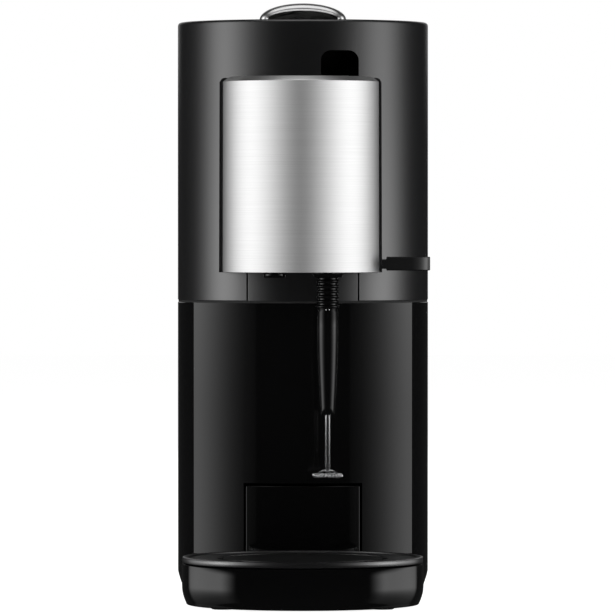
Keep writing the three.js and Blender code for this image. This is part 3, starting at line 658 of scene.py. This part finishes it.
def make_head_housing():
    top, bottom, edge, step = housing.z1, housing.z0, 2.2 * MM, 0.4 * MM
    collar_r, inside_body = (housing.x1 - housing.x0) / 2 - GAP, -40 * MM
    levels = [(bottom, head_outline(collar_r + GAP, inside_body))]
    for i in range(6):
        angle = i / 5 * QUARTER
        inset = edge * (1 - math.cos(angle)) + step * min(1, i)
        levels.append((top - edge + edge * math.sin(angle), head_outline(collar_r - inset, inside_body)))
    shell = loft("head_collar", levels)
    behind_cover = block("keep", -BODY_R, BODY_R, HEAD_Y + 0.8 * MM, -30 * MM, bottom - BEYOND, top + BEYOND)
    combine(shell, [behind_cover], "INTERSECT")
    nose = head_outline(HEAD_R - 2 * MM, inside_body - MM)
    combine(shell, [prism("front", nose, bottom + 0.5 * MM, steel_box.z1 - 2.8 * MM)], "UNION")
    hollow = head_outline(HEAD_R - 3.2 * MM, inside_body + BEYOND)
    slit_y, slit_top = (HEAD_Y + 1.5 * MM, -60.8 * MM), 262.6 * MM
    combine(shell, [prism("cut", hollow, bottom - BEYOND, steel_box.z1 - 4 * MM), body_cutter(),
                    block("cut", 30 * MM, 50 * MM, *slit_y, bottom - BEYOND, slit_top)])
    soften(shell, 0.4 * MM, 2)
    place(shell, "chassis", "satin_black", "head_housing")


def make_head_underside():
    z0, thick = steel_box.z0, 1.4 * MM
    collar_r, spout_r = 7 * MM, 4.2 * MM
    through = (z0 - BEYOND, z0 + BEYOND)
    plate = prism("head_underside", head_outline(HEAD_R - 3.5 * MM, -40 * MM), z0, z0 + thick)
    combine(plate, [body_cutter(), cylinder("cut", "z", collar_r, *through, collar.cx, collar.cy),
                    cylinder("cut", "z", spout_r, *through, spout.cx, spout.cy)])
    soften(plate, 0.3 * MM, 2)
    place(plate, "chassis", "dark_plastic", "head_bottom_plate")

    profile = [(2.6, 0.3), (2.9, 0), (5.3, 0), (5.7, 0.15), (5.9, 0.6), (5.9, 1.9), (5.6, 2.3), (3.9, 2.3),
               (3.9, 5.9), (2.6, 5.9)]
    place(lathed("spout_nose", profile, spout, 64), "chassis", "gloss_black", "coffee_spout")
    profile = [(6.6, 0.2), (6.8, 0), (7.3, 0), (7.6, 0.2), (8.3, 1.8), (8.3, 2.0), (8.1, 2.1), (6.6, 2.1)]
    place(lathed("whisk_collar_ring", profile, collar, 72), "chassis", "gloss_black", "whisk_collar")


# ---------- frother ----------
def make_sleeve_and_nozzle():
    x, y = sleeve.cx, sleeve.cy
    inner, groove, crest = 3.6 * MM, 5.05 * MM, 5.9 * MM
    ribs, pitch = 7, 2.6 * MM
    profile = [(inner, sleeve.z0)]
    for rib in range(ribs):
        for i in range(10):
            share = i / 10
            across = min(1, max(0, (share - 0.12) / 0.76))
            lift = math.sin(math.pi * across) ** 0.6
            profile.append((groove + (crest - groove) * lift, sleeve.z0 + (rib + share) * pitch))
    profile += [(groove, sleeve.z0 + ribs * pitch), (groove, sleeve.z1), (inner, sleeve.z1)]
    bellows = turned("ribbed_sleeve", profile, x, y, 80, 50)
    place(bellows, "frother_carriage", "gloss_black", "frother_sleeve")

    bore, tip, top_r, fillet, taper = 2.2 * MM, 3.6 * MM, 5.4 * MM, 0.8 * MM, 44 * MM
    profile = [(bore, nozzle.z0)]
    for i in range(5):
        angle = i / 4 * QUARTER
        profile.append((tip - fillet + fillet * math.sin(angle), nozzle.z0 + fillet * (1 - math.cos(angle))))
    for i in range(1, 13):
        share = i / 12
        radius = tip + (top_r - tip) * math.sin(share * QUARTER)
        profile.append((radius, nozzle.z0 + fillet + share * taper))
    profile += [(top_r, nozzle.z1 - 1.2 * MM), (top_r - 0.4 * MM, nozzle.z1), (bore, nozzle.z1)]
    cone = turned("tapered_nozzle", profile, x, y, 72, 50)
    place(cone, "frother_carriage", "gloss_black", "frother_nozzle")


def make_whisk():
    """A stem with two arms that carry a ring of coiled wire."""
    x, y, bottom, top = sleeve.cx, sleeve.cy, whisk.z0, whisk.z1
    stem_r, top_r = 1.4 * MM, MM
    stem = [(0, bottom + 2.6 * MM), (1.1 * MM, bottom + 3 * MM), (stem_r, bottom + 4 * MM),
            (stem_r, top - 0.4 * MM), (top_r, top), (0, top)]
    place(turned("whisk_stem", stem, x, y, 40), "whisk", "steel_plain", "whisk")
    ring_r, ring_z = 6.5 * MM, bottom + 1.6 * MM
    coils, wire, core = 26, 0.38 * MM, 0.92 * MM
    steps = coils * 12
    points = []
    for i in range(steps):
        around = 2 * math.pi * i / steps
        twist = coils * around
        reach = ring_r + core * math.cos(twist)
        height = ring_z + core * math.sin(twist)
        points.append((x + reach * math.cos(around), y + reach * math.sin(around), height))
    place(wire_piece("whisk_coil", points, wire, True), "whisk", "steel_plain")
    bend = [(0.6, 4.2), (2.2, 3.9), (4.2, 3.2), (5.6, 2.2), (6.2, 1.7)]  # millimetres out and up
    for side, side_name in ((-1, "left"), (1, "right")):
        arm = [(x + side * out * MM, y, bottom + up * MM) for out, up in bend]
        place(wire_piece(f"whisk_arm_{side_name}", arm, 0.6 * MM, False), "whisk", "steel_plain")


def make_side_lever():
    """A flat bar through the head's slit with a rounded end, thicker outside the head."""
    lever = side_lever
    front_y, back_y, round_end, steps = -68 * MM, -61.8 * MM, 9.6 * MM, 16
    inner_x, inner_y, outside = 29.3 * MM, -77 * MM, 43 * MM
    more_below, more_above = 0.9 * MM, 1.3 * MM
    rounding = []
    for i in range(steps + 1):
        angle = QUARTER * i / steps
        x = lever.x1 - round_end * (1 - math.sin(angle))
        rounding.append((x, back_y - (back_y - front_y) * math.cos(angle)))
    bent = [(inner_x, inner_y), (31 * MM, inner_y), (35.5 * MM, front_y)]
    outline = bent + rounding + [(36 * MM, back_y), (inner_x, -67.5 * MM)]
    bar = prism("frother_side_lever", outline, lever.z0, lever.z1)
    outer = [(outside, back_y), (outside, front_y)] + rounding
    combine(bar, [prism("outer", outer, lever.z0 - more_below, lever.z1 + more_above)], "UNION")
    soften(bar, 0.7 * MM, 4, 40)
    place(bar, "frother_carriage", "gloss_black", "frother_lever")
    METAL_LIT.objects.link(bar)


def wire_piece(name, points, radius, cyclic):
    """A round wire through the points, closed into a loop if cyclic."""
    curve = bpy.data.curves.new(name, "CURVE")
    curve.dimensions = "3D"
    curve.bevel_depth = radius
    curve.bevel_resolution = 3
    curve.use_fill_caps = True
    spline = curve.splines.new("POLY")
    spline.points.add(len(points) - 1)
    for knot, point in zip(spline.points, points):
        knot.co = (*point, 1)
    spline.use_cyclic_u = cyclic
    source = bpy.data.objects.new(name + "_curve", curve)
    bpy.context.collection.objects.link(source)
    bpy.context.view_layer.update()
    mesh = bpy.data.meshes.new_from_object(source.evaluated_get(bpy.context.evaluated_depsgraph_get()))
    bpy.data.objects.remove(source)
    obj = bpy.data.objects.new(name, mesh)
    bpy.context.collection.objects.link(obj)
    smooth(obj, 60)
    return obj


# ---------- pod lever ----------
def arch_points(half, rise, segments=40):
    angles = [math.pi * i / segments for i in range(segments + 1)]
    return [(half * math.cos(angle), rise * math.sin(angle)) for angle in angles]


def arch_piece(name, sections):
    """A closed piece along y on top of the body, through (y, [(x, height)]) sections of equal count."""
    bm = bmesh.new()
    rings = [[bm.verts.new((x, y, upper.z1 + z)) for x, z in section] for y, section in sections]
    skin(bm, rings)
    return mesh_object(name, bm, 40)


def make_pod_lever():
    """A metal arch whose front edge leans back and is slightly crowned, with a dark lining."""
    half, rise, band, slant, steps = pod_lever.x1, pod_lever.z1 - upper.z1, 4.4 * MM, 4.6 * MM, 6
    y0, y1 = pod_lever.y0, 66 * MM
    pin, pin_r, knuckle_r, knuckle_half = Box("lever_pin"), 2.3 * MM, 4.5 * MM, 9 * MM
    inner = arch_points(half - band, rise - band + 0.4 * MM)[::-1]
    stations = []
    for i in range(steps + 1):
        angle = i / steps * QUARTER
        stations.append((y0 + slant * (1 - math.cos(angle)), 0.1 + 0.9 * math.sin(angle)))
    stations.append((y1, 1))
    sections = []
    for y, share in stations:
        inset = band * (1 - share)
        sections.append((y, arch_points(half - inset, rise - inset) + inner))
    arch = arch_piece("pod_lever_arch", sections)
    neck = block("neck", -knuckle_half, knuckle_half, y1 - 6 * MM, pin.cy, 300 * MM, 305.6 * MM)
    knuckle = cylinder("knuckle", "x", knuckle_r, -knuckle_half, knuckle_half, pin.cy, pin.cz)
    combine(arch, [neck, knuckle], "UNION")
    reach = knuckle_half + BEYOND
    combine(arch, [cylinder("cut", "x", pin_r, -reach, reach, pin.cy, pin.cz)])
    soften(arch, 0.4 * MM, 2, 60)
    place(arch, "pod_lever", "steel_satin", "pod_lever", slot="steel_brushed")

    thick = 0.8 * MM
    half, rise = half - band - 0.15 * MM, rise - band + 0.25 * MM
    section = arch_points(half, rise) + arch_points(half - thick, rise - thick)[::-1]
    lining = arch_piece("pod_lever_lining", [(y0 + 4 * MM, section), (y1 - 7 * MM, section)])
    place(lining, "pod_lever", "satin_black")


# ---------- drip tray and cup support ----------
def make_tray():
    """The basin with its slightly bulging wall, cut out for the cup support, the bin and the feet."""
    z0, z1, rear_y = tray.z0, 21.6 * MM, -33 * MM
    inset, fillet, bulge_height = 2.1 * MM, 0.9 * MM, 9.5 * MM
    levels = []
    for i in range(5):
        angle = i / 4 * QUARTER
        levels.append((z0 + fillet * (1 - math.cos(angle)), inset + fillet * (1 - math.sin(angle))))
    for i in range(1, 11):
        share = i / 10
        levels.append((z0 + fillet + bulge_height * share, inset * (1 - share) ** 2.2))
    levels += [(z1 - 0.6 * MM, 0), (z1 - 0.2 * MM, 0.15 * MM), (z1, 0.6 * MM)]
    basin = loft("tray_basin", [(z, bullet(TRAY_R - move, TRAY_Y, rear_y)) for z, move in levels])
    tongue, tongue_z0, tongue_z1 = pod_bin.x1, 5 * MM, 8 * MM
    stem_r, stem_top, pad_r, pad_top = 2.8 * MM, 4 * MM, 6.4 * MM, 2.3 * MM
    cutters = [prism("cut", bullet(TRAY_R - 5 * MM, TRAY_Y, -70 * MM), 5.5 * MM, z1 + BEYOND),
               block("cut", -tongue - MM, tongue + MM, -66 * MM, rear_y + BEYOND, tongue_z1, z1 + BEYOND)]
    for name in ("tray_foot_left", "tray_foot_right"):
        foot = Box(name)
        cutters.append(cylinder("cut", "z", stem_r, -BEYOND, stem_top, foot.cx, foot.cy, 32))
        cutters.append(cylinder("cut", "z", pad_r, -BEYOND, pad_top, foot.cx, foot.cy, 48))
    combine(basin, cutters)
    combine(basin, [block("tongue", -tongue, tongue, -50 * MM, tray.y1, tongue_z0, tongue_z1)], "UNION")
    soften(basin, 0.5 * MM, 2, 40)
    place(basin, "drip_tray", "gloss_black", "drip_tray")
    BASE_LIT.objects.link(basin)
    leave_out(basin)


def make_cup_support():
    """A disc with a raised rim and a drip groove in four arcs."""
    r, top, bottom = TRAY_R - 0.2 * MM, support.z1, support.z0
    under = [(0.7, 0), (0.2, 0.15), (0, 0.6)]  # millimetres in from the rim and up from the underside
    over = [(0, 0.6), (0.15, 0.2), (0.6, 0), (2.7, 0), (3.1, 0.2), (3.4, 0.8)]  # and down from the top
    profile = [(0, bottom)] + [(r - move * MM, bottom + up * MM) for move, up in under]
    profile += [(r - move * MM, top - down * MM) for move, down in over] + [(0, top - 0.8 * MM)]
    disc = turned("cup_support_disc", profile, 0, TRAY_Y, 192)
    r0, r1, z0, z1, bridge = 40.5 * MM, 43.5 * MM, bottom - BEYOND, top + BEYOND, 3 * MM
    groove = turned("cut", [(r0, z0), (r1, z0), (r1, z1), (r0, z1)], 0, TRAY_Y, 128)
    reach, above, below = r1 + BEYOND, z1 + BEYOND, z0 - BEYOND
    combine(groove, [block("cut", -bridge, bridge, TRAY_Y - reach, TRAY_Y + reach, below, above),
                     block("cut", -reach, reach, TRAY_Y - bridge, TRAY_Y + bridge, below, above)])
    combine(disc, [groove])
    smooth(disc)
    place(disc, "cup_support", "satin_black", "cup_support")
    BASE_LIT.objects.link(disc)


def make_pod_bin():
    half, thick = pod_bin.x1, 2 * MM
    inner_half, inner_rear = half - thick, pod_bin.y1 - thick
    outline = arc_front(0, half) + [(half, pod_bin.y1), (-half, pod_bin.y1)]
    inside = arc_front(thick, inner_half) + [(inner_half, inner_rear), (-inner_half, inner_rear)]
    bucket = prism("used_pod_bin", outline, pod_bin.z0, pod_bin.z1)
    combine(bucket, [prism("cut", inside, pod_bin.z0 + thick, pod_bin.z1 + BEYOND)])
    soften(bucket, 0.5 * MM, 2)
    place(bucket, "drip_tray", "gloss_black", "pod_bin", slot="dark_plastic")


# ---------- tank ----------
def tank_outline(inset, corner=26 * MM, segments=20):
    """Plan outline of the tank, moved inwards: small corners in front and large ones behind."""
    x, y0, y1, r = tank.x1 - inset, tank.y0 + inset, tank.y1 - inset, corner - inset
    small = max(0.5 * MM, 4 * MM - inset)
    points = []
    for sx, sy, radius, start in ((1, -1, small, -90), (1, 1, r, 0), (-1, 1, r, 90), (-1, -1, small, 180)):
        cx, cy = sx * (x - radius), (y0 + radius if sy < 0 else y1 - radius)
        for i in range(segments + 1):
            angle = math.radians(start + 90 * i / segments)
            points.append((cx + radius * math.cos(angle), cy + radius * math.sin(angle)))
    return points


def tank_piece(name, levels):
    """A closed piece through the tank's outline, from (z, inset in millimetres) levels."""
    return loft(name, [(z, tank_outline(inset * MM)) for z, inset in levels])


def make_tank():
    """The smoked tank with a grip dished into each side, and its level line at the rear."""
    z0, z1, thick = tank.z0, tank.z1, 2.6 * MM
    shell = tank_piece("tank_wall", [(z0, 1.2), (z0 + 0.4 * MM, 0.5), (z0 + 1.2 * MM, 0),
                                     (z1 - 0.5 * MM, 0), (z1, 0.4)])
    valve, valve_r = Box("tank_valve"), 4.4 * MM
    combine(shell, [prism("cut", tank_outline(thick), z0 + thick, z1 + BEYOND),
                    cylinder("cut", "z", valve_r, 0, z0 + thick + BEYOND, valve.cx, valve.cy)])
    grip_r, grip_depth, grip_y, grip_z = 14 * MM, 1.1 * MM, (125 * MM, 153 * MM), z1 - 32 * MM
    for side in (-1, 1):
        x = side * (tank.x1 + grip_r - grip_depth)
        combine(shell, [cylinder("cut", "y", grip_r, *grip_y, x, grip_z)])
    smooth(shell)
    place(shell, "water_tank", "smoked_tank", "water_tank")
    half, y, z, high = 20 * MM, tank.y1, z1 - 24 * MM, 0.9 * MM
    line = block("tank_level_line", -half, half, y - 0.05 * MM, y + 0.15 * MM, z, z + high)
    place(line, "water_tank", "button_black")


def make_tank_lid():
    """The lid turns about a round edge along its rear."""
    bottom, top, edge_r, edge_half = lid.z0, lid.z1, 2.2 * MM, 34 * MM
    cap = tank_piece("tank_cap", [(bottom, 0.5), (bottom + 0.5 * MM, 0), (top - 1.2 * MM, 0),
                                  (top - 0.4 * MM, 0.5), (top, 1.4)])
    pivot_y, pivot_z = lid.y1 - edge_r, (bottom + top) / 2
    combine(cap, [block("cut", lid.x0 - BEYOND, lid.x1 + BEYOND, pivot_y, lid.y1 + BEYOND,
                        bottom - BEYOND, top + BEYOND)])
    combine(cap, [cylinder("edge", "x", edge_r, -edge_half, edge_half, pivot_y, pivot_z)], "UNION")
    smooth(cap)
    place(cap, "tank_lid", "satin_black", "tank_lid")


# ---------- small and inner parts that keep their CAD shape ----------
def dress_kept_nodes():
    kept = {
        "dark_plastic": "base_chassis frother_carriage whisk_pulley motor_pulley pod_chute brew_piston "
                        "tank_valve tank_seat",
        "rubber_black": "coffee_duct drive_belt pump_mount_front pump_mount_rear pump_hose brew_hose "
                        "cable_gland tank_seal",
        "cast_metal": "brew_chamber thermoblock pump frother_motor",
        "steel_plain": "guide_rod_left guide_rod_right lever_pin needle_plate base_screw_front_left "
                       "base_screw_front_right base_screw_rear_left base_screw_rear_right",
        "circuit_board": "control_board",
    }
    for look, names in kept.items():
        for name in names.split():
            mesh = NODES[name].data
            mesh.materials.clear()
            mesh.materials.append(LOOKS[look])
            smooth(NODES[name], 40)


def make_feet():
    feet = {f"foot_{end}_{side}": "chassis" for end in ("front", "rear") for side in ("left", "right")}
    feet.update({"tray_foot_left": "drip_tray", "tray_foot_right": "drip_tray"})
    for name, body in feet.items():
        box = Box(name)
        r, top, dish, stem_r = box.x1 - box.cx, 1.2 * MM, 0.25 * MM, 2.5 * MM
        profile = [(0, dish), (2.6 * MM, dish), (3 * MM, 0), (r - 0.5 * MM, 0), (r, 0.4 * MM), (r, top),
                   (stem_r, top), (stem_r, box.z1), (0, box.z1)]
        place(turned(name + "_pad", profile, box.cx, box.cy, 48), body, "rubber_black", name)


make_camera()
make_world()
make_lights()
make_floor()
make_upper_shell()
make_seam_lip()
make_flush_panel()
make_top_panel()
make_buttons()
make_lower_column()
make_rear()
make_steel_cover()
make_head_housing()
make_head_underside()
make_sleeve_and_nozzle()
make_whisk()
make_side_lever()
make_pod_lever()
make_tray()
make_cup_support()
make_pod_bin()
make_tank()
make_tank_lid()
make_feet()
dress_kept_nodes()
